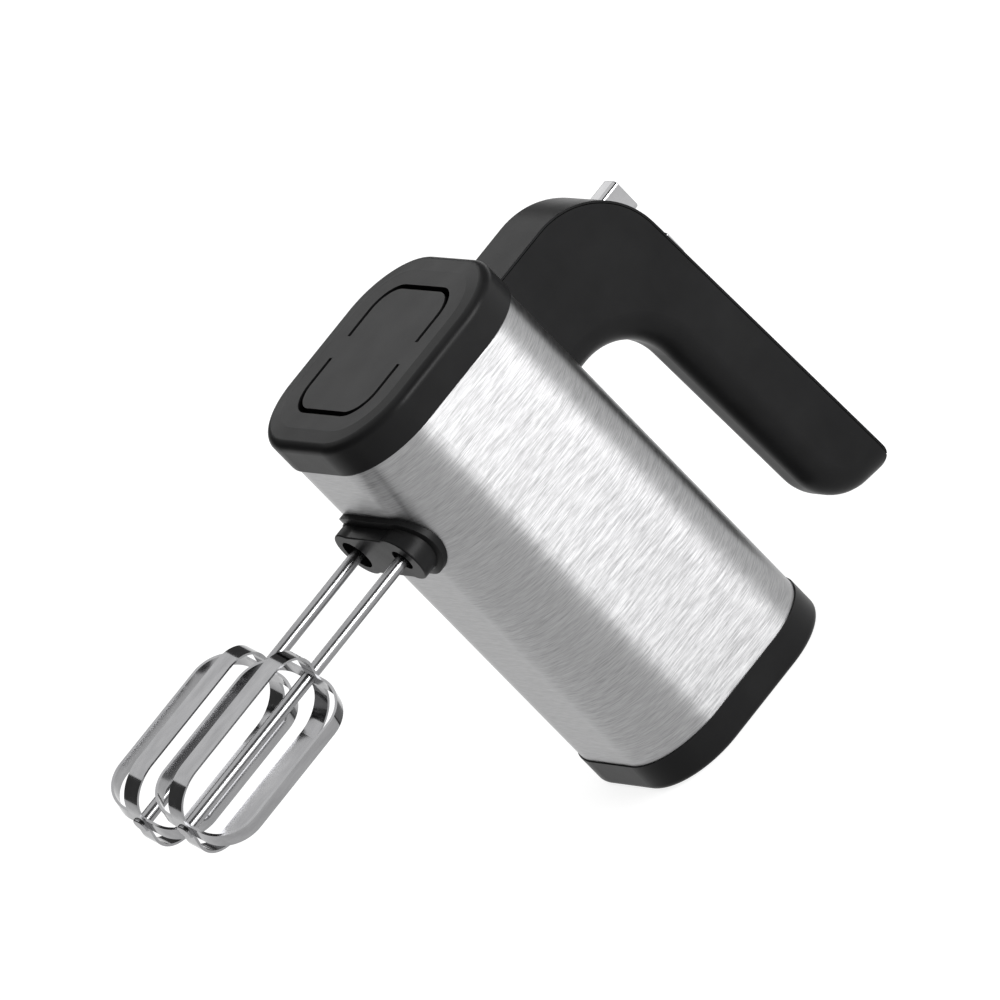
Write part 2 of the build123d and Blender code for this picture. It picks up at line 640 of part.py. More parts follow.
# ---------------------------------------------------------------- spindles and beaters
def make_spindle(side):
    """A hollow spindle: journal above, wider foot below with a cross slot for the beater's wings."""
    y = side * SPINDLE_Y
    with BuildPart() as spindle:
        with BuildSketch(across(SPINDLE_BOTTOM, y=y)):
            Circle(SPINDLE_FOOT_RADIUS)
        extrude(amount=BOX_BOTTOM - 0.3 - SPINDLE_BOTTOM)
        with BuildSketch(across(SPINDLE_BOTTOM, y=y)):
            Circle(SPINDLE_RADIUS)
        extrude(amount=SPINDLE_TOP - SPINDLE_BOTTOM)
        with BuildSketch(across(SPINDLE_BOTTOM, y=y)):
            Circle(SHAFT_RADIUS + SHAFT_RUNNING)
        extrude(amount=SPINDLE_TOP - SPINDLE_BOTTOM, mode=Mode.SUBTRACT)
        with BuildSketch(across(SPINDLE_BOTTOM, y=y)):
            Rectangle(2 * WING_REACH + 0.4, WING_THICK + 0.3)
        extrude(amount=WING_TOP + 0.5 - SPINDLE_BOTTOM, mode=Mode.SUBTRACT)
    return spindle.part


def strip_plane(side, arm):
    """The plane of one beater loop: across the beater, then along its shaft."""
    angle = radians(BEATER_PHASE + 90 * arm)
    across_y = -sin(angle)
    across_z = cos(angle)
    return Plane(
        ((BEATER_TOP + BEATER_BOTTOM) / 2, side * SPINDLE_Y, GEAR_Z),
        x_dir=(0, across_y, across_z),
        z_dir=(0, across_z, -across_y),
    )


def make_strip(side, arm, nesting):
    """One closed loop of flat strip; the inner loop nests inside the outer one where they cross."""
    half_length = (BEATER_TOP - BEATER_BOTTOM) / 2 - nesting
    half_width = STRIP_RADIUS + STRIP_THICK / 2
    with BuildPart() as strip:
        with BuildSketch(strip_plane(side, arm)):
            RectangleRounded(2 * half_width, 2 * half_length, STRIP_BEND)
            RectangleRounded(
                2 * (half_width - STRIP_THICK),
                2 * (half_length - STRIP_THICK),
                STRIP_BEND - STRIP_THICK,
                mode=Mode.SUBTRACT,
            )
        extrude(amount=STRIP_WIDTH / 2, both=True)
        with BuildSketch(across(BEATER_BOTTOM - 1, y=side * SPINDLE_Y)):
            Circle(SHAFT_RADIUS)
        extrude(amount=BEATER_TOP - BEATER_BOTTOM + 2, mode=Mode.SUBTRACT)
    return strip.part


def make_shaft(side):
    """The beater's shaft, with a peened head below the loops, a stop collar above and two wings."""
    y = side * SPINDLE_Y
    with BuildPart() as shaft:
        with BuildSketch(across(BEATER_BOTTOM, y=y)):
            Circle(SHAFT_RADIUS)
        extrude(amount=SHAFT_TOP - BEATER_BOTTOM)
        chamfer(shaft.edges().group_by(Axis.X)[-1], 0.6)
        with BuildSketch(across(BEATER_BOTTOM, y=y)):
            Circle(PEEN_RADIUS)
        extrude(amount=-PEEN_HEIGHT)
        fillet(shaft.edges().group_by(Axis.X)[0], PEEN_HEIGHT * 0.7)
        with BuildSketch(across(WING_TOP, y=y)):
            Rectangle(2 * WING_REACH, WING_THICK)
        extrude(amount=-WING_LENGTH)
    return shaft.part


for name, side in SIDES.items():
    spindle = make_spindle(side)
    spindle.label = f"{name}_spindle"
    export_step(spindle, f"parts/{name}_spindle.step")
    shaft = make_shaft(side)
    shaft.label = f"{name}_beater_shaft"
    export_step(shaft, f"parts/{name}_beater_shaft.step")
    outer_loop = make_strip(side, 0, 0)
    outer_loop.label = f"{name}_beater_outer_loop"
    export_step(outer_loop, f"parts/{name}_beater_outer_loop.step")
    inner_loop = make_strip(side, 1, STRIP_THICK + 0.05)
    inner_loop.label = f"{name}_beater_inner_loop"
    export_step(inner_loop, f"parts/{name}_beater_inner_loop.step")

# ---------------------------------------------------------------- motor
# armature shaft with a two-start right-hand worm rolled near its nose
with BuildPart() as worm_thread:
    with BuildLine() as thread_path:
        Helix(pitch=WORM_LEAD, height=WORM_LENGTH, radius=WORM_ROOT, center=(0, 0, WORM_START))
    thread_line = thread_path.line
    with BuildSketch(Plane(thread_line @ 0, x_dir=(1, 0, 0), z_dir=thread_line % 0)):
        Polygon(
            (-0.4, -1.05), (1.05, -0.62), (1.9, -0.3), (1.9, 0.3), (1.05, 0.62), (-0.4, 1.05), align=None
        )
    sweep(path=thread_line, is_frenet=True)

with BuildPart() as motor_shaft:
    for start in range(WORM_STARTS):
        add(worm_thread.part, rotation=(0, 0, 360 / WORM_STARTS * start))
    for bottom, top, radius in (
        (SHAFT_TAIL, WORM_START - 2, MOTOR_SHAFT_RADIUS),
        (WORM_START - 2.5, WORM_START + WORM_LENGTH + 2, WORM_ROOT),
        (WORM_START + WORM_LENGTH + 1.5, SHAFT_NOSE, NOSE_RADIUS),
    ):
        with BuildSketch(Plane.XY.offset(bottom)):
            Circle(radius)
        extrude(amount=top - bottom)
motor_shaft.part.label = "motor_shaft"
export_step(motor_shaft.part, "parts/motor_shaft.step")

with BuildPart() as stator_core:
    with BuildSketch(Plane.XY.offset(STACK_START)):
        RectangleRounded(2 * STACK_HALF_X, 2 * STACK_HALF_Y, 12.0)
        Circle(ROTOR_RADIUS + 0.6, mode=Mode.SUBTRACT)
        Rectangle(2 * COIL_OUTER + 1, 2 * COIL_REACH + 0.6, mode=Mode.SUBTRACT)
    extrude(amount=STACK_END - STACK_START)
stator_core.part.label = "stator_core"
export_step(stator_core.part, "parts/stator_core.step")


def make_field_coil(side):
    """A saddle coil: two runs through the stack's windows, joined by an arch at each end."""
    overhang = 5.0
    with BuildPart() as coil:
        with BuildSketch(Plane.XY.offset(STACK_START - overhang)):
            for run in (1, -1):
                with Locations((run * (COIL_OUTER - 2.2), side * (COIL_REACH + 2.5) / 2)):
                    Rectangle(4.4, COIL_REACH - 2.5)
        extrude(amount=STACK_END - STACK_START + 2 * overhang)
        for bottom in (STACK_START - overhang, STACK_END + 0.3):
            with BuildSketch(Plane.XY.offset(bottom)):
                with Locations((0, side * 13.5)):
                    Rectangle(2 * COIL_OUTER, 21.0)
                Circle(ROTOR_RADIUS - 0.4, mode=Mode.SUBTRACT)
                fillet(vertices().group_by(Axis.Y)[-1 if side > 0 else 0], 6.0)
            extrude(amount=overhang - 0.3)
    return coil.part


with BuildPart() as field_coils:
    for side in SIDES.values():
        add(make_field_coil(side))
field_coils.part.label = "field_coils"
export_step(field_coils.part, "parts/field_coils.step")

with BuildPart() as armature_core:
    with BuildSketch(Plane.XY.offset(STACK_START)):
        Circle(ROTOR_RADIUS)
        Circle(MOTOR_SHAFT_RADIUS, mode=Mode.SUBTRACT)
        with PolarLocations(ROTOR_RADIUS - SLOT_DEPTH / 2, ROTOR_SLOTS):
            Rectangle(SLOT_DEPTH + 0.5, SLOT_WIDTH, mode=Mode.SUBTRACT)
    extrude(amount=STACK_END - STACK_START)
armature_core.part.label = "armature_core"
export_step(armature_core.part, "parts/armature_core.step")

with BuildPart() as armature_windings:
    with BuildSketch(Plane.XY.offset(STACK_START - WINDING_OVERHANG)):
        with PolarLocations(ROTOR_RADIUS - SLOT_DEPTH / 2 - 0.6, ROTOR_SLOTS):
            Rectangle(SLOT_DEPTH - 1.2, SLOT_WIDTH - 0.3)
    extrude(amount=STACK_END - STACK_START + 2 * WINDING_OVERHANG)
    for bottom in (STACK_START - WINDING_OVERHANG, STACK_END):
        with BuildSketch(Plane.XY.offset(bottom)):
            Circle(ROTOR_RADIUS - 1.6)
            Circle(MOTOR_SHAFT_RADIUS, mode=Mode.SUBTRACT)
        extrude(amount=WINDING_OVERHANG)
armature_windings.part.label = "armature_windings"
export_step(armature_windings.part, "parts/armature_windings.step")

with BuildPart() as commutator:
    with BuildSketch(Plane.XY.offset(COMMUTATOR_START)):
        Circle(COMMUTATOR_RADIUS)
        Circle(MOTOR_SHAFT_RADIUS, mode=Mode.SUBTRACT)
        with PolarLocations(COMMUTATOR_RADIUS, COMMUTATOR_BARS):
            Rectangle(1.2, 0.5, mode=Mode.SUBTRACT)
    extrude(amount=COMMUTATOR_END - COMMUTATOR_START)
commutator.part.label = "commutator"
export_step(commutator.part, "parts/commutator.step")

with BuildPart() as cooling_fan:
    with BuildSketch(Plane.XY.offset(FAN_START)):
        Circle(FAN_RADIUS)
        Circle(MOTOR_SHAFT_RADIUS, mode=Mode.SUBTRACT)
    extrude(amount=1.6)
    with BuildSketch(Plane.XY.offset(FAN_START)):
        Circle(MOTOR_SHAFT_RADIUS + 3.5)
        Circle(MOTOR_SHAFT_RADIUS, mode=Mode.SUBTRACT)
        with PolarLocations((FAN_RADIUS + 10.0) / 2, FAN_BLADES):
            Rectangle(FAN_RADIUS - 10.0, 1.4, rotation=25)
    extrude(amount=FAN_HEIGHT)
cooling_fan.part.label = "cooling_fan"
export_step(cooling_fan.part, "parts/cooling_fan.step")

# bearings: ball bearings drawn as plain rings
with BuildPart() as rear_bearing:
    with BuildSketch(Plane.XY.offset(REAR_BEARING_START)):
        Circle(BEARING_RADIUS)
        Circle(MOTOR_SHAFT_RADIUS + BUSH_RUNNING, mode=Mode.SUBTRACT)
    extrude(amount=BEARING_WIDTH)
rear_bearing.part.label = "rear_bearing"
export_step(rear_bearing.part, "parts/rear_bearing.step")

with BuildPart() as main_bearing:
    with BuildSketch(Plane.XY.offset(BOX_REAR)):
        Circle(BEARING_RADIUS)
        Circle(MOTOR_SHAFT_RADIUS + BUSH_RUNNING, mode=Mode.SUBTRACT)
    extrude(amount=MAIN_BEARING_WIDTH)
main_bearing.part.label = "main_bearing"
export_step(main_bearing.part, "parts/main_bearing.step")

with BuildPart() as front_bush:
    with BuildSketch(Plane.XY.offset(BOX_FRONT - FRONT_BUSH_WIDTH)):
        Circle(BEARING_RADIUS)
        Circle(NOSE_RADIUS + BUSH_RUNNING, mode=Mode.SUBTRACT)
    extrude(amount=FRONT_BUSH_WIDTH)
front_bush.part.label = "front_bush"
export_step(front_bush.part, "parts/front_bush.step")

# bridge behind the commutator: it holds the rear bearing and both brush holders
with BuildPart() as bearing_bracket:
    with BuildSketch(Plane.XY.offset(REAR_BEARING_START)):
        RectangleRounded(46.0, 2 * BRACKET_HALF_Y, 6.0)
        Circle(BEARING_RADIUS, mode=Mode.SUBTRACT)
    extrude(amount=BEARING_WIDTH)
    with BuildSketch(Plane.XY.offset(REAR_BEARING_START + BEARING_WIDTH)):
        with Locations((0, BRACKET_HALF_Y - 4), (0, 4 - BRACKET_HALF_Y)):
            Rectangle(16, 8)
    extrude(amount=BRUSH_Z - HOLDER_HALF_Z - REAR_BEARING_START - BEARING_WIDTH)
bearing_bracket.part.label = "bearing_bracket"
export_step(bearing_bracket.part, "parts/bearing_bracket.step")


def sideways(y, side, x=0.0, z=0.0):
    """A plane square to Y, facing away from the body's middle; first direction along X."""
    return Plane((x, side * y, z), x_dir=(side, 0, 0), z_dir=(0, side, 0))


with BuildPart() as brush_holders:
    for side in SIDES.values():
        with BuildSketch(sideways(BRUSH_TIP + 2, side, z=BRUSH_Z)):
            Rectangle(11.0, 2 * HOLDER_HALF_Z)
            Rectangle(BRUSH_X + 0.2, BRUSH_HEIGHT + 0.2, mode=Mode.SUBTRACT)
        extrude(amount=HOLDER_BACK - BRUSH_TIP - 2)
        with BuildSketch(sideways(HOLDER_BACK, side, z=BRUSH_Z)):
            Rectangle(11.0, 2 * HOLDER_HALF_Z)
        extrude(amount=1.0)
brush_holders.part.label = "brush_holders"
export_step(brush_holders.part, "parts/brush_holders.step")

with BuildPart() as carbon_brushes:
    for side in SIDES.values():
        with BuildSketch(sideways(BRUSH_TIP, side, z=BRUSH_Z)):
            Rectangle(BRUSH_X, BRUSH_HEIGHT)
        extrude(amount=BRUSH_LENGTH)
carbon_brushes.part.label = "carbon_brushes"
export_step(carbon_brushes.part, "parts/carbon_brushes.step")


def make_spring(base, radius, wire, length, turns):
    """A plain coil spring: round wire on a helix, along the base plane's normal."""
    with BuildPart() as spring:
        with BuildLine() as coil:
            Helix(pitch=(length - 2 * wire) / turns, height=length - 2 * wire, radius=radius)
        with BuildSketch(Plane(coil.line @ 0, z_dir=coil.line % 0)):
            Circle(wire)
        sweep(path=coil.line, is_frenet=True)
    return spring.part.moved(base.offset(wire).location)


brush_spring_length = HOLDER_BACK - BRUSH_TIP - BRUSH_LENGTH
with BuildPart() as brush_springs:
    for side in SIDES.values():
        base = sideways(BRUSH_TIP + BRUSH_LENGTH + 0.1, side, z=BRUSH_Z)
        add(make_spring(base, 1.8, 0.3, brush_spring_length - 0.2, 6))
brush_springs.part.label = "brush_springs"
export_step(brush_springs.part, "parts/brush_springs.step")

# ---------------------------------------------------------------- ejector and speed control
# curved plate under the knob, flush with the cover, with a cross slot for the knob's blade
with BuildPart() as carriage_plate:
    extrude(handle_band(0.1, CARRIAGE_THICK, SHELF_X, 100), amount=CARRIAGE_HALF_Y, both=True)
    with BuildSketch(across(YOKE_X, (CARRIAGE_REAR + CARRIAGE_FRONT) / 2)):
        RectangleRounded(2 * CARRIAGE_HALF_Y, CARRIAGE_FRONT - CARRIAGE_REAR, 1.2)
    extrude(amount=40, mode=Mode.INTERSECT)
    with BuildSketch(across(YOKE_X, ROD_Z)):
        RectangleRounded(2 * (BLADE_HALF_Y + KNOB_TRAVEL + 0.4), BLADE_WIDTH + 0.5, 0.8)
    extrude(amount=40, mode=Mode.SUBTRACT)

# one moulding: a push plate over both shafts, a long rod, a yoke and the carriage plate
with BuildPart() as ejector:
    for leg_z in (CARRIAGE_REAR + 1.2, CARRIAGE_FRONT - 1.8):
        with BuildSketch(across(YOKE_X + 2.5, leg_z)):
            Rectangle(14.0, 1.4)
        extrude(amount=ARC_X + ARC_RADIUS - YOKE_X)
    extrude(handle_band(-9, CARRIAGE_THICK - 0.4, BODY_HALF_X, 100), amount=20, both=True, mode=Mode.SUBTRACT)
    add(carriage_plate.part)
    with BuildSketch(across(YOKE_X, ROD_Z)):
        Rectangle(14.0, CARRIAGE_FRONT - CARRIAGE_REAR - 1.0)
    extrude(amount=3.0)
    with BuildSketch(across(SHAFT_TOP + 0.4, ROD_Z)):
        Circle(ROD_RADIUS)
    extrude(amount=YOKE_X - SHAFT_TOP)
    with BuildSketch(across(SHAFT_TOP + 0.4)):
        with Locations((0, 5.5)):
            RectangleRounded(2 * SPINDLE_Y + 12, 25.0, 5.0)
    extrude(amount=3.0)
ejector.part.label = "ejector"
export_step(ejector.part, "parts/ejector.step")

# chrome knob on the carriage, with a blade and foot that hold it in the carriage's slot
with BuildPart() as speed_knob:
    with BuildSketch(across(KNOB_TOP, (KNOB_REAR + KNOB_FRONT) / 2)):
        RectangleRounded(2 * KNOB_HALF_Y, KNOB_FRONT - KNOB_REAR, 1.8)
    extrude(amount=-14)
    fillet(speed_knob.edges().group_by(Axis.X)[-1], 0.7)
    extrude(handle_side(-0.25, 0, BODY_HALF_X), amount=20, both=True, mode=Mode.SUBTRACT)
    with BuildSketch(across(FOOT_X, ROD_Z)):
        Rectangle(2 * BLADE_HALF_Y, BLADE_WIDTH)
    extrude(amount=KNOB_TOP - FOOT_X - 2)
    with BuildSketch(across(FOOT_X, ROD_Z)):
        Rectangle(2 * BLADE_HALF_Y + 3, FOOT_WIDTH)
    extrude(amount=2.0)
speed_knob.part.label = "speed_knob"
export_step(speed_knob.part, "parts/speed_knob.step")

with BuildPart() as turbo_button:
    with BuildSketch(across(TURBO_TOP, (TURBO_REAR + TURBO_FRONT) / 2)):
        RectangleRounded(2 * TURBO_HALF_Y, TURBO_FRONT - TURBO_REAR, 1.4)
    extrude(amount=-7.2)
    fillet(turbo_button.edges().group_by(Axis.X)[-1], 0.8)
    with BuildSketch(across(TURBO_TOP - 7.2, (TURBO_REAR + TURBO_FRONT) / 2)):
        Rectangle(2 * TURBO_HALF_Y + 3, TURBO_FRONT - TURBO_REAR + 3)
    extrude(amount=-1.2)
    with BuildSketch(across(TURBO_TOP - 8.4, (TURBO_REAR + TURBO_FRONT) / 2)):
        Circle(1.5)
    extrude(amount=-TURBO_STEM)
turbo_button.part.label = "turbo_button"
export_step(turbo_button.part, "parts/turbo_button.step")

# return springs of the ejector and of the turbo button
ejector_spring_part = make_spring(across(SHELF_X + 3.05, ROD_Z), ROD_RADIUS + 1.3, 0.45, YOKE_X - SHELF_X - 3.1, 7)
ejector_spring_part.label = "ejector_spring"
export_step(ejector_spring_part, "parts/ejector_spring.step")

turbo_mid_z = (TURBO_REAR + TURBO_FRONT) / 2
turbo_spring_part = make_spring(across(SWITCH_TOP + 0.05, turbo_mid_z), 2.4, 0.25, TURBO_TOP - 8.45 - SWITCH_TOP, 4)
turbo_spring_part.label = "turbo_spring"
export_step(turbo_spring_part, "parts/turbo_spring.step")

# ---------------------------------------------------------------- switches and electronics
with BuildPart() as turbo_switch:
    with BuildSketch(across(SWITCH_TOP, turbo_mid_z)):
        RectangleRounded(TURBO_SWITCH_WIDTH, TURBO_SWITCH_LENGTH, 0.8)
    extrude(amount=-TURBO_SWITCH_HEIGHT)
    with BuildSketch(across(SWITCH_TOP, turbo_mid_z)):
        Circle(1.7)
    extrude(amount=-4.5, mode=Mode.SUBTRACT)
turbo_switch.part.label = "turbo_switch"
export_step(turbo_switch.part, "parts/turbo_switch.step")

with BuildPart() as speed_switch:
    with BuildSketch(across(SPEED_SWITCH_X, SPEED_SWITCH_Z)):
        RectangleRounded(SPEED_SWITCH_WIDTH, SPEED_SWITCH_LENGTH, 1.0)
    extrude(amount=SPEED_SWITCH_HEIGHT)
speed_switch.part.label = "speed_switch"
export_step(speed_switch.part, "parts/speed_switch.step")

with BuildPart() as control_board:
    with BuildSketch(across(BOARD_X, BOARD_MIDDLE)):
        RectangleRounded(BOARD_WIDTH, BOARD_LENGTH, 1.0)
    extrude(amount=BOARD_THICK)
control_board.part.label = "control_board"
export_step(control_board.part, "parts/control_board.step")

with BuildPart() as interference_capacitor:
    with BuildSketch(across(BOARD_X + BOARD_THICK, CAPACITOR_Z)):
        RectangleRounded(CHIP_WIDTH, CAPACITOR_LENGTH, 0.8)
    extrude(amount=CAPACITOR_HEIGHT)
interference_capacitor.part.label = "interference_capacitor"
export_step(interference_capacitor.part, "parts/interference_capacitor.step")

with BuildPart() as triac:
    with BuildSketch(across(BOARD_X + BOARD_THICK, TRIAC_Z)):
        Rectangle(CHIP_WIDTH, TRIAC_LENGTH)
    extrude(amount=TRIAC_HEIGHT)
triac.part.label = "triac"
export_step(triac.part, "parts/triac.step")


# ---------------------------------------------------------------- screws
def make_screw(plane, length):
    """A pan-head screw: the head sits on the plane and the shank runs into it."""
    with BuildPart() as screw:
        with BuildSketch(plane):
            Circle(SCREW_HEAD)
        extrude(amount=HEAD_HEIGHT)
        with BuildSketch(plane):
            Circle(SCREW_RADIUS)
        extrude(amount=-length)
    return screw.part


with BuildPart() as rear_cap_screws:
    for x_side in (1, -1):
        for y_side in (1, -1):
            seat = Plane((x_side * CAP_SCREW_X, y_side * CAP_SCREW_Y, HEAD_SINK), x_dir=(1, 0, 0), z_dir=(0, 0, -1))
            add(make_screw(seat, CAP_SCREW_LENGTH))
rear_cap_screws.part.label = "rear_cap_screws"
export_step(rear_cap_screws.part, "parts/rear_cap_screws.step")

with BuildPart() as gearbox_screws:
    for y_side in (1, -1):
        for z_side in (1, -1):
            seat_z = (BOX_REAR + BOX_FRONT) / 2 + z_side * LID_SCREW_Z
            add(make_screw(across(BOX_LID_TOP, seat_z, y_side * LID_SCREW_Y), LID_SCREW_LENGTH))
gearbox_screws.part.label = "gearbox_screws"
export_step(gearbox_screws.part, "parts/gearbox_screws.step")
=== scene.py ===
import json

import bpy
from mathutils import Matrix, Vector


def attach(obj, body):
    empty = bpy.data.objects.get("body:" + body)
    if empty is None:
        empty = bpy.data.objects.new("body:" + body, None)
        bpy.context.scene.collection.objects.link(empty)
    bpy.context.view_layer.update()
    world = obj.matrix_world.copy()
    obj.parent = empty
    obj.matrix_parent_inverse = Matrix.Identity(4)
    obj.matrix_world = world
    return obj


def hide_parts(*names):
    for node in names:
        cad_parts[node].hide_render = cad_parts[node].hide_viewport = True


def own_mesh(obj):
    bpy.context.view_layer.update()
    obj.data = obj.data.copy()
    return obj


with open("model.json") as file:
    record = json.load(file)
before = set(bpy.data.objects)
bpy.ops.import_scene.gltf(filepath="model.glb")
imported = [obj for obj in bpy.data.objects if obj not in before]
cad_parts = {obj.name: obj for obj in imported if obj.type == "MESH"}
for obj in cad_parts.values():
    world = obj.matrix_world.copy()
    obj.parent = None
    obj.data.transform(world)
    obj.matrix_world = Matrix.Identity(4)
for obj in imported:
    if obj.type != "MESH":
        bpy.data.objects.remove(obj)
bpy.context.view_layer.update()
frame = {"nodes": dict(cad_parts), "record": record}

# Lengths are in metres, in the CAD model's frame, unless a comment says otherwise.

# ---------------------------------------------------------------- camera, floor and light
# The photograph's view: the picture's right, its up, and the way from the object back to the camera.
VIEW_RIGHT = Vector((0.59895, -0.47330, -0.64594))
VIEW_UP = Vector((0.75036, 0.05001, 0.65913))
VIEW_BACK = Vector((-0.27966, -0.87948, 0.38510))
VIEW_DISTANCE = 6.0
VIEW_WIDTH = 0.35714
SENSOR = 36.0  # mm
CLIP_START = 0.1
CLIP_END = 60.0

# The middle of the picture: a point on the body's axis, moved along the picture's right and up.
AIM = Vector((0.0, 0.0, 0.0905))
AIM_RIGHT = -0.01671
AIM_UP = 0.00962
MIDDLE = AIM + VIEW_RIGHT * AIM_RIGHT + VIEW_UP * AIM_UP

WHITE = (1, 1, 1, 1)
WORLD_STRENGTH = 0.1

FLOOR_SIZE = 14.0
FLOOR_HEIGHT = -0.0004  # just under the heel
FLOOR_GREY = (0.3, 0.3, 0.3, 1)
FLOOR_ROUGHNESS = 0.9
FLOOR_GLOW = 0.84

# Each softbox: its place, its width and height, and its power in watts.
LIGHT_AIM = Vector((0, 0, 0.09))
SOFT_BOXES = {
    "top": ((0.2, 0.6, 2.2), (3.0, 3.0), 40.0),
    "side": ((0.95, -1.75, 0.6), (1.7, 0.9), 74.0),
    "back": ((0.75, 2.0, 1.05), (0.9, 0.9), 4.2),
}


def add_object(name, data):
    """A new object with the given data, in the scene."""
    made = bpy.data.objects.new(name, data)
    bpy.context.scene.collection.objects.link(made)
    return made


def make_camera():
    """A long lens on the object's three-quarter view, rolled so that the handle is at the upper right."""
    camera = add_object("camera", bpy.data.cameras.new("camera"))
    camera.data.sensor_width = SENSOR
    camera.data.lens = SENSOR * VIEW_DISTANCE / VIEW_WIDTH
    camera.data.clip_start = CLIP_START
    camera.data.clip_end = CLIP_END
    turn = Matrix((VIEW_RIGHT, VIEW_UP, VIEW_BACK)).transposed().to_4x4()
    camera.matrix_world = Matrix.Translation(MIDDLE + VIEW_BACK * VIEW_DISTANCE) @ turn
    bpy.context.scene.camera = camera


def make_world():
    """An even pale surround."""
    world = bpy.data.worlds.new("studio")
    world.use_nodes = True
    background = world.node_tree.nodes["Background"]
    background.inputs["Color"].default_value = WHITE
    background.inputs["Strength"].default_value = WORLD_STRENGTH
    bpy.context.scene.world = world
    bpy.context.scene.view_settings.view_transform = "Standard"


def make_floor():
    """A plain white sheet under the heel, bright enough to lose its shadows."""
    half = FLOOR_SIZE / 2
    corners = [(x * half, y * half, FLOOR_HEIGHT) for x, y in ((-1, -1), (1, -1), (1, 1), (-1, 1))]
    mesh = bpy.data.meshes.new("floor")
    mesh.from_pydata(corners, [], [(0, 1, 2, 3)])
    material, _, _ = blank(
        "floor_white",
        Base_Color=FLOOR_GREY,
        Roughness=FLOOR_ROUGHNESS,
        Emission_Color=WHITE,
        Emission_Strength=FLOOR_GLOW,
    )
    mesh.materials.append(material)
    add_object("floor", mesh)


def soft_box(name, place, size, power):
    """A rectangular area light, width by height, that faces the object."""
    data = bpy.data.lights.new(name, "AREA")
    data.shape = "RECTANGLE"
    data.size, data.size_y = size
    data.energy = power
    light = add_object(name, data)
    light.location = place
    light.rotation_euler = (LIGHT_AIM - Vector(place)).to_track_quat("-Z", "Y").to_euler()


# ---------------------------------------------------------------- finishes
# The span that a noise pattern usually fills.
NOISE_LOW = 0.3
NOISE_HIGH = 0.7
NOISE_ROUGHNESS = 0.6

# Moulded finishes: dark and light colour, low and high roughness, and the texture's cells per metre where the
# usual one isn't used.
MOULD_TEXTURE = 2600.0
MOULD_DEPTH = 0.00003
MOULD_RELIEF = 0.35
MOULD_DRIFT = 38.0  # cells per metre of the slow change of colour
MOULD_SPECULAR = 0.07
MOULDED = {
    "black_plastic": ((0.006, 0.006, 0.0062), (0.0085, 0.0085, 0.0087), 0.31, 0.38),
    "black_rubber": ((0.014, 0.014, 0.014), (0.022, 0.022, 0.022), 0.6, 0.75),
    "grey_plastic": ((0.13, 0.13, 0.14), (0.18, 0.18, 0.19), 0.4, 0.5),
    "switch_plastic": ((0.035, 0.035, 0.045), (0.06, 0.06, 0.07), 0.4, 0.5),
    "carbon": ((0.018, 0.018, 0.018), (0.04, 0.04, 0.04), 0.5, 0.65, 4200.0),
    "gear_nylon": ((0.72, 0.7, 0.62), (0.8, 0.79, 0.72), 0.35, 0.45),
}

# Metals: dark and light colour, low and high roughness, the marks' cells per metre along X, Y and Z, and the depth
# of the marks where the usual one isn't used.
METAL_DEPTH = 0.00001
METAL_RELIEF = 0.3
METALS = {
    "cast_alloy": ((0.42, 0.42, 0.44), (0.58, 0.58, 0.6), 0.45, 0.6, (700.0,) * 3, 0.00006),
    "bronze": ((0.5, 0.33, 0.14), (0.66, 0.46, 0.24), 0.35, 0.5, (1800.0,) * 3, 0.00003),
    "copper_bars": ((0.6, 0.3, 0.17), (0.8, 0.46, 0.3), 0.2, 0.35, (300.0, 300.0, 3000.0)),
    "bearing_steel": ((0.5, 0.5, 0.52), (0.7, 0.7, 0.72), 0.15, 0.28, (900.0,) * 3),
    "spring_steel": ((0.42, 0.42, 0.44), (0.6, 0.6, 0.62), 0.2, 0.3, (900.0,) * 3),
    "chrome_trim": ((0.3, 0.3, 0.305), (0.38, 0.38, 0.385), 0.1, 0.16, (60.0,) * 3, 0.000002),
    "chromed_wire": ((0.2, 0.2, 0.205), (0.27, 0.27, 0.275), 0.2, 0.26, (40.0, 300.0, 300.0), 0.000001),
    "chromed_strip": ((0.23, 0.23, 0.235), (0.3, 0.3, 0.305), 0.09, 0.15, (60.0, 260.0, 260.0), 0.000002),
}

# Stacked sheet and wound wire: dark and light colour, roughness, the stripes' scale, the axis they cross and how
# far they wander.
STRIPE_DEPTH = 0.0002
STRIPE_RELIEF = 0.6
STRIPE_LOW = 0.1
STRIPE_HIGH = 0.9
STRIPED = {
    "lamination_steel": ((0.16, 0.16, 0.17), (0.4, 0.4, 0.42), 0.45, 320.0, "Z", 0.0),
    "copper_winding": ((0.3, 0.1, 0.04), (0.66, 0.3, 0.14), 0.3, 420.0, "DIAGONAL", 1.5),
}

# The brushed skin: its strokes' and long marks' cells per metre, how much the long marks add, and the pattern's
# colours and roughness between the two ends of its span.
STROKE_CELLS = (150.0, 150.0, 2900.0)
LONG_MARK_CELLS = (26.0, 26.0, 520.0)
LONG_MARK_SHARE = 0.3
STROKE_SHARE_LOW = 0.1
STROKE_SHARE_HIGH = 0.6
STEEL_SPAN = (0.2, 0.8)
STEEL_DARK = (0.225, 0.225, 0.228)
STEEL_LIGHT = (0.43, 0.43, 0.434)
STEEL_ROUGH_LOW = 0.3
STEEL_ROUGH_HIGH = 0.44
STEEL_ANISOTROPY = 0.72
STEEL_STRETCH_TURN = 0.25  # of a full turn from the tangent
STROKE_DEPTH = 0.00002
STROKE_RELIEF = 0.3

# The circuit board: its tracks' cells per metre, and the distances from a cell's edge over which the track's colour
# gives way to the board's.
BOARD_ROUGHNESS = 0.3
TRACK_CELLS = 260.0
TRACK_SPAN = (0.04, 0.1)
TRACK_COLOUR = (0.09, 0.3, 0.13)
BOARD_COLOUR = (0.02, 0.12, 0.05)
TRACK_DEPTH = 0.00005
TRACK_RELIEF = 0.4


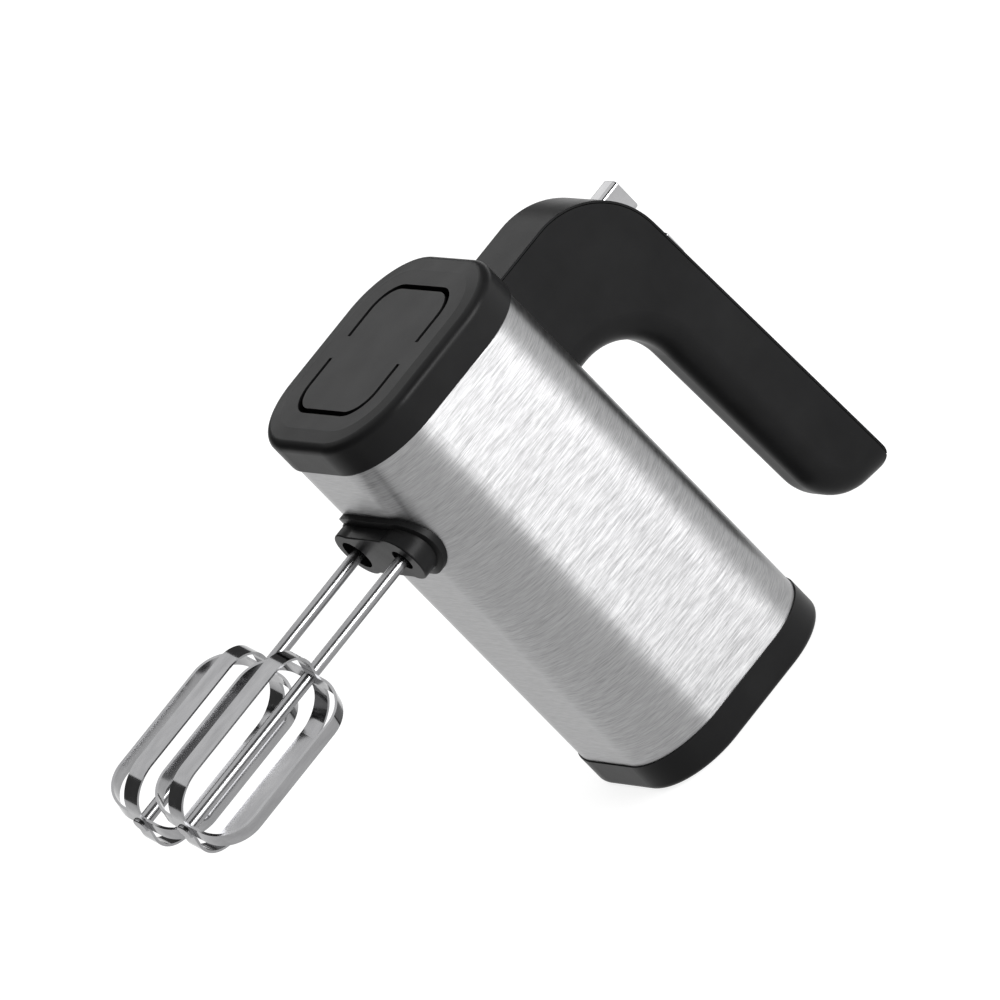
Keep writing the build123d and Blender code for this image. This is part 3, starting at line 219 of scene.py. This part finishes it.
def add_node(tree, kind, **settings):
    """A shader node with its properties set."""
    made = tree.nodes.new(kind)
    for key, value in settings.items():
        setattr(made, key, value)
    return made


def own_metres(tree):
    """The object's own coordinates."""
    return add_node(tree, "ShaderNodeTexCoord").outputs["Object"]


def grain(tree, stretch, detail):
    """Noise in the object's own metres, stretched by a number of cells per metre along each axis."""
    place = own_metres(tree)
    mapping = add_node(tree, "ShaderNodeMapping")
    mapping.inputs["Scale"].default_value = stretch
    noise = add_node(tree, "ShaderNodeTexNoise")
    noise.inputs["Scale"].default_value = 1.0
    noise.inputs["Detail"].default_value = detail
    noise.inputs["Roughness"].default_value = NOISE_ROUGHNESS
    tree.links.new(place, mapping.inputs["Vector"])
    tree.links.new(mapping.outputs["Vector"], noise.inputs["Vector"])
    return noise.outputs["Fac"]


def bands(tree, scale, direction, warp):
    """Even stripes across an axis."""
    place = own_metres(tree)
    wave = add_node(tree, "ShaderNodeTexWave", wave_type="BANDS", bands_direction=direction)
    wave.inputs["Scale"].default_value = scale
    wave.inputs["Distortion"].default_value = warp
    tree.links.new(place, wave.inputs["Vector"])
    return wave.outputs["Fac"]


def spread(tree, value, low, high, start=NOISE_LOW, end=NOISE_HIGH):
    """Maps a pattern's usual span on to a range of values."""
    mapped = add_node(tree, "ShaderNodeMapRange")
    mapped.inputs["From Min"].default_value = start
    mapped.inputs["From Max"].default_value = end
    mapped.inputs["To Min"].default_value = low
    mapped.inputs["To Max"].default_value = high
    tree.links.new(value, mapped.inputs["Value"])
    return mapped.outputs["Result"]


def shade(tree, value, dark, light, start=NOISE_LOW, end=NOISE_HIGH):
    """Blends two colours by a pattern."""
    ramp = add_node(tree, "ShaderNodeValToRGB")
    for element, position, colour in zip(ramp.color_ramp.elements, (start, end), (dark, light)):
        element.position = position
        element.color = (*colour, 1)
    tree.links.new(value, ramp.inputs["Fac"])
    return ramp.outputs["Color"]


def relief(tree, value, distance, strength):
    """Bump from a pattern."""
    bump = add_node(tree, "ShaderNodeBump")
    bump.inputs["Distance"].default_value = distance
    bump.inputs["Strength"].default_value = strength
    tree.links.new(value, bump.inputs["Height"])
    return bump.outputs["Normal"]


def blank(name, **sockets):
    """A new node material, its tree and its shader, with the given sockets set."""
    material = bpy.data.materials.new(name)
    material.use_nodes = True
    shader = material.node_tree.nodes["Principled BSDF"]
    for key, value in sockets.items():
        shader.inputs[key.replace("_", " ")].default_value = value
    return material, material.node_tree, shader


def moulded(name, dark, light, rough_low, rough_high, texture=MOULD_TEXTURE):
    """Moulded plastic, rubber or carbon: fine texture, and a slow drift of colour and gloss."""
    material, tree, shader = blank(name, Specular_IOR_Level=MOULD_SPECULAR)
    fine = grain(tree, (texture,) * 3, detail=2.0)
    slow = grain(tree, (MOULD_DRIFT,) * 3, detail=4.0)
    tree.links.new(shade(tree, slow, dark, light), shader.inputs["Base Color"])
    tree.links.new(spread(tree, slow, rough_low, rough_high), shader.inputs["Roughness"])
    tree.links.new(relief(tree, fine, MOULD_DEPTH, MOULD_RELIEF), shader.inputs["Normal"])
    return material


def metal(name, dark, light, rough_low, rough_high, stretch, depth=METAL_DEPTH):
    """Cast, turned, drawn or polished metal: fine marks in colour, gloss and relief."""
    material, tree, shader = blank(name, Metallic=1.0)
    marks = grain(tree, stretch, detail=4.0)
    tree.links.new(shade(tree, marks, dark, light), shader.inputs["Base Color"])
    tree.links.new(spread(tree, marks, rough_low, rough_high), shader.inputs["Roughness"])
    tree.links.new(relief(tree, marks, depth, METAL_RELIEF), shader.inputs["Normal"])
    return material


def striped(name, dark, light, rough, scale, direction, warp):
    """Stacked sheet or wound wire: even stripes in colour and relief."""
    material, tree, shader = blank(name, Metallic=1.0, Roughness=rough)
    stripe = bands(tree, scale, direction, warp)
    colour = shade(tree, stripe, dark, light, STRIPE_LOW, STRIPE_HIGH)
    tree.links.new(colour, shader.inputs["Base Color"])
    tree.links.new(relief(tree, stripe, STRIPE_DEPTH, STRIPE_RELIEF), shader.inputs["Normal"])
    return material


def brushed_steel():
    """The body's skin: short brush strokes that run round the body, over a fainter long grain."""
    material, tree, shader = blank(
        "brushed_steel", Metallic=1.0, Anisotropic=STEEL_ANISOTROPY, Anisotropic_Rotation=STEEL_STRETCH_TURN
    )
    strokes = grain(tree, STROKE_CELLS, detail=3.0)
    long_marks = grain(tree, LONG_MARK_CELLS, detail=2.0)
    mixed = add_node(tree, "ShaderNodeMath", operation="MULTIPLY_ADD")
    mixed.inputs[1].default_value = LONG_MARK_SHARE
    tree.links.new(long_marks, mixed.inputs[0])
    tree.links.new(spread(tree, strokes, STROKE_SHARE_LOW, STROKE_SHARE_HIGH), mixed.inputs[2])
    pattern = mixed.outputs["Value"]
    colour = shade(tree, pattern, STEEL_DARK, STEEL_LIGHT, *STEEL_SPAN)
    tree.links.new(colour, shader.inputs["Base Color"])
    gloss = spread(tree, pattern, STEEL_ROUGH_LOW, STEEL_ROUGH_HIGH, *STEEL_SPAN)
    tree.links.new(gloss, shader.inputs["Roughness"])
    tangent = add_node(tree, "ShaderNodeTangent", direction_type="RADIAL", axis="Z")
    tree.links.new(tangent.outputs["Tangent"], shader.inputs["Tangent"])
    tree.links.new(relief(tree, strokes, STROKE_DEPTH, STROKE_RELIEF), shader.inputs["Normal"])
    return material


def circuit_board():
    """Green solder resist with paler copper tracks under it."""
    material, tree, shader = blank("circuit_board", Roughness=BOARD_ROUGHNESS)
    place = own_metres(tree)
    tracks = add_node(tree, "ShaderNodeTexVoronoi", feature="DISTANCE_TO_EDGE")
    tracks.inputs["Scale"].default_value = TRACK_CELLS
    tree.links.new(place, tracks.inputs["Vector"])
    edge = tracks.outputs["Distance"]
    tree.links.new(shade(tree, edge, TRACK_COLOUR, BOARD_COLOUR, *TRACK_SPAN), shader.inputs["Base Color"])
    tree.links.new(relief(tree, edge, TRACK_DEPTH, TRACK_RELIEF), shader.inputs["Normal"])
    return material


def make_finishes():
    """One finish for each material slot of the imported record."""
    finishes = {"brushed_steel": brushed_steel(), "circuit_board": circuit_board()}
    for make, table in ((moulded, MOULDED), (metal, METALS), (striped, STRIPED)):
        for name, values in table.items():
            finishes[name] = make(name, *values)
    return finishes


def dress(finishes):
    """Gives every CAD node the finish of its slot."""
    for part in frame["record"]["subparts"]:
        mesh = frame["nodes"][part["node"]].data
        mesh.materials.clear()
        mesh.materials.append(finishes[part["material_slot"]])


def compressing_spring(node):
    """A copy of the spring's coil with its own mesh, fixed to the casing in place of the CAD node, which is hidden.
    """
    source = frame["nodes"][node]
    coil = add_object(node + "_coil", source.data.copy())
    coil.matrix_world = source.matrix_world.copy()
    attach(coil, "casing")
    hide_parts(node)
    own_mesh(coil)


make_camera()
make_world()
make_floor()
for box_name, box_values in SOFT_BOXES.items():
    soft_box(box_name, *box_values)
dress(make_finishes())
compressing_spring("ejector_spring")
compressing_spring("turbo_spring")
